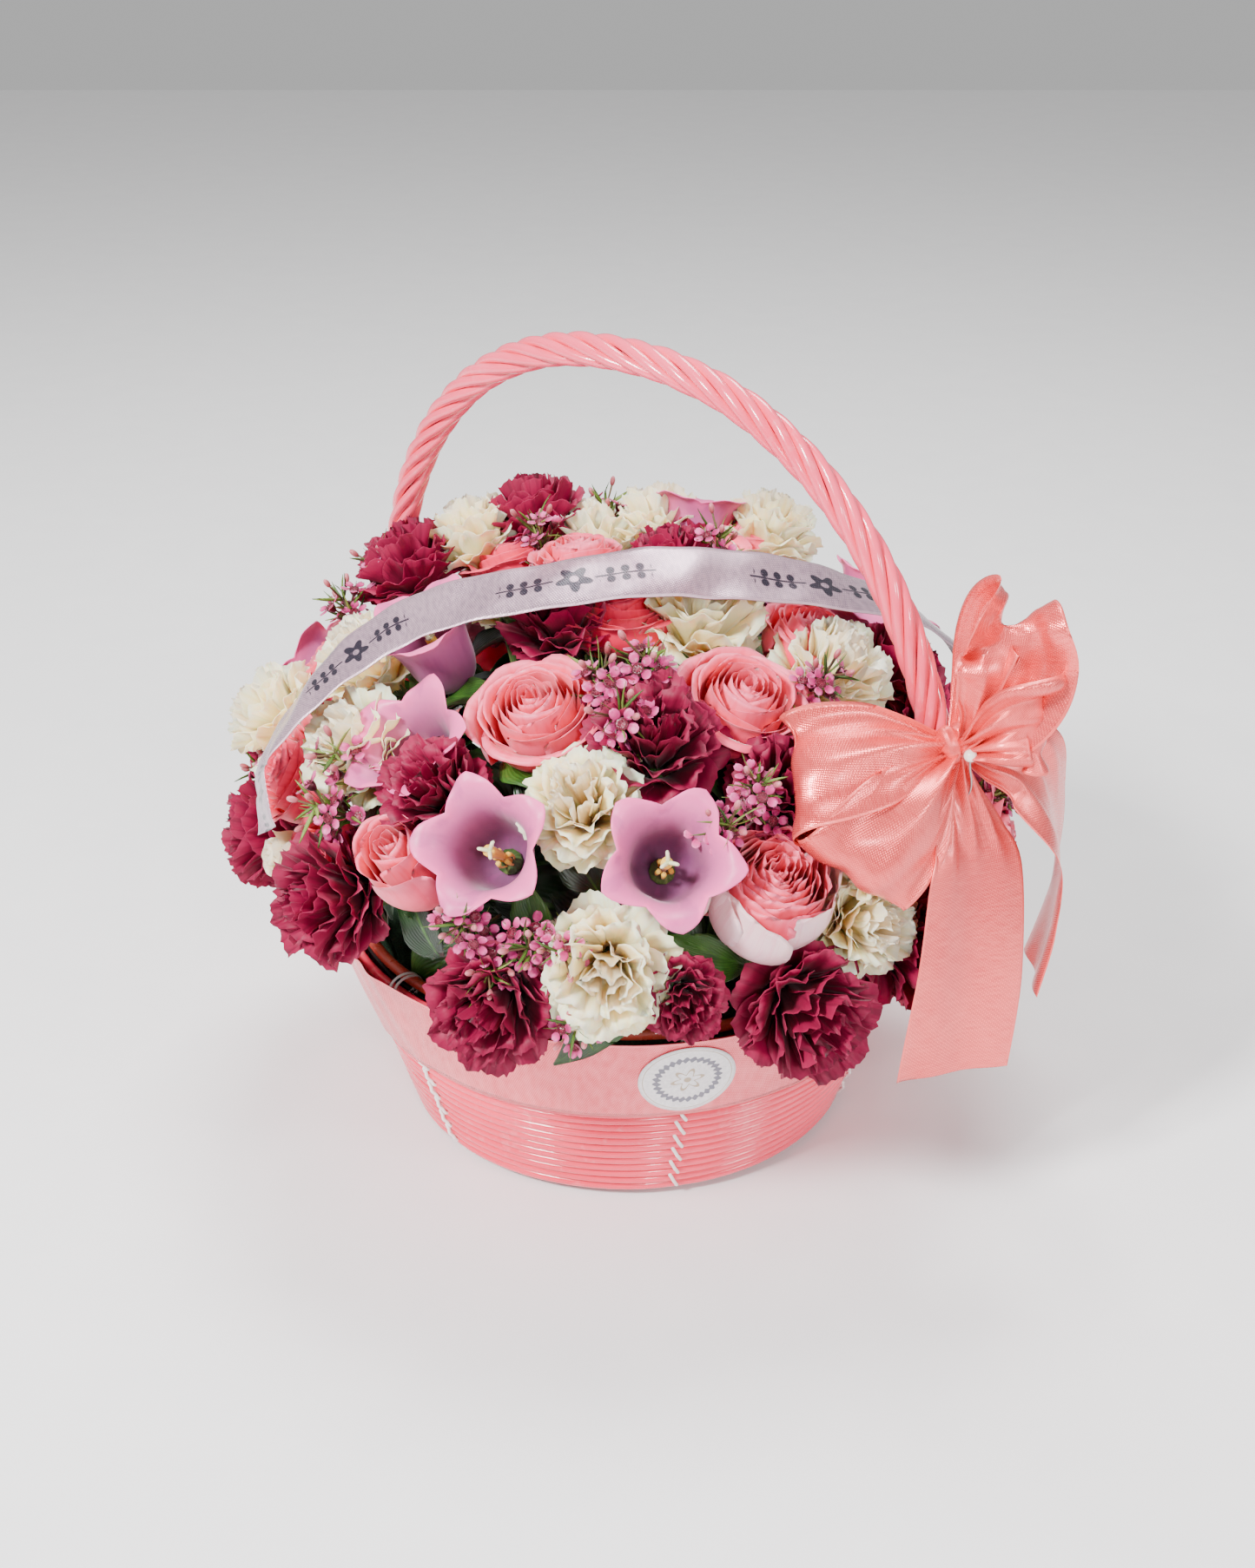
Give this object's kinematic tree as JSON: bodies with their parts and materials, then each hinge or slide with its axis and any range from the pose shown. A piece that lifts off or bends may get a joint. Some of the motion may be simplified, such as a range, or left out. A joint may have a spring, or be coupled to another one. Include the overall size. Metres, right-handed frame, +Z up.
{
  "type": "flower gift basket",
  "caption": "Round coiled-tube gift basket with a twisted hoop handle, satin band and bow, filled with a dome of cut flowers.",
  "frame": {"origin": "centre of the base board's underside, on the surface the basket stands on", "axes": "+Z up through the basket's middle, front towards -Y, +X to the right seen from the front"},
  "size_m": [0.3401, 0.3351, 0.3431],
  "materials": {
    "coil_tube": "glossy pink plastic tube",
    "handle_tube": "glossy light pink plastic tube",
    "rim_tube": "darker copper-pink plastic tube",
    "stitch_cord": "white twisted cord",
    "liner": "black waterproof film",
    "foam": "wet green floral foam",
    "core_wire": "drawn wire",
    "band_satin": "glossy light pink satin ribbon",
    "sticker_paper": "coated white paper",
    "printed_satin": "pale silvery pink satin with a dark blue printed ornament",
    "bow_satin": "salmon pink satin",
    "pearl": "pearl lacquer",
    "red_petal": "dark red carnation petals, soft",
    "cream_petal": "cream carnation petals, soft",
    "rose_petal": "pink rose petals, velvety",
    "hot_petal": "deep pink rose petals, velvety",
    "bell_petal": "lilac pink bellflower petals, waxy",
    "waxflower_petal": "lilac pink waxflower petals",
    "foliage": "waxy green leaves and stems"
  },
  "bodies": {
    "root": {"base_board": "coil_tube", "bellflower_1": "bell_petal", "bellflower_2": "bell_petal", "bellflower_3": "bell_petal", "bow_knot": "bow_satin", "bow_loop_left": "bow_satin", "bow_loop_right": "bow_satin", "bow_tail_back": "bow_satin", "bow_tail_front": "bow_satin", "carnation_cream_1": "cream_petal", "carnation_cream_10": "cream_petal", "carnation_cream_2": "cream_petal", "carnation_cream_3": "cream_petal", "carnation_cream_4": "cream_petal", "carnation_cream_5": "cream_petal", "carnation_cream_6": "cream_petal", "carnation_cream_7": "cream_petal", "carnation_cream_8": "cream_petal", "carnation_cream_9": "cream_petal", "carnation_red_1": "red_petal", "carnation_red_2": "red_petal", "carnation_red_3": "red_petal", "carnation_red_4": "red_petal", "carnation_red_5": "red_petal", "carnation_red_6": "red_petal", "carnation_red_7": "red_petal", "carnation_red_8": "red_petal", "carnation_red_9": "red_petal", "foam_block": "foam", "handle_core": "core_wire", "handle_strand_1": "handle_tube", "handle_strand_2": "handle_tube", "handle_strand_3": "handle_tube", "handle_strand_4": "handle_tube", "handle_strand_5": "handle_tube", "handle_strand_6": "handle_tube", "liner": "liner", "pearl": "pearl", "printed_ribbon": "printed_satin", "rim_band": "band_satin", "rim_hoop": "rim_tube", "rose_hot_1": "hot_petal", "rose_hot_2": "hot_petal", "rose_hot_3": "hot_petal", "rose_hot_4": "hot_petal", "rose_pink_1": "rose_petal", "rose_pink_2": "rose_petal", "rose_pink_3": "rose_petal", "rose_pink_4": "rose_petal", "rose_pink_5": "rose_petal", "rose_pink_6": "rose_petal", "rose_pink_7": "rose_petal", "round_sticker": "sticker_paper", "stitch_line_1": "stitch_cord", "stitch_line_2": "stitch_cord", "stitch_line_3": "stitch_cord", "stitch_line_4": "stitch_cord", "stitch_line_5": "stitch_cord", "stitch_line_6": "stitch_cord", "wall_coil": "coil_tube"}
  },
  "joints": []
}
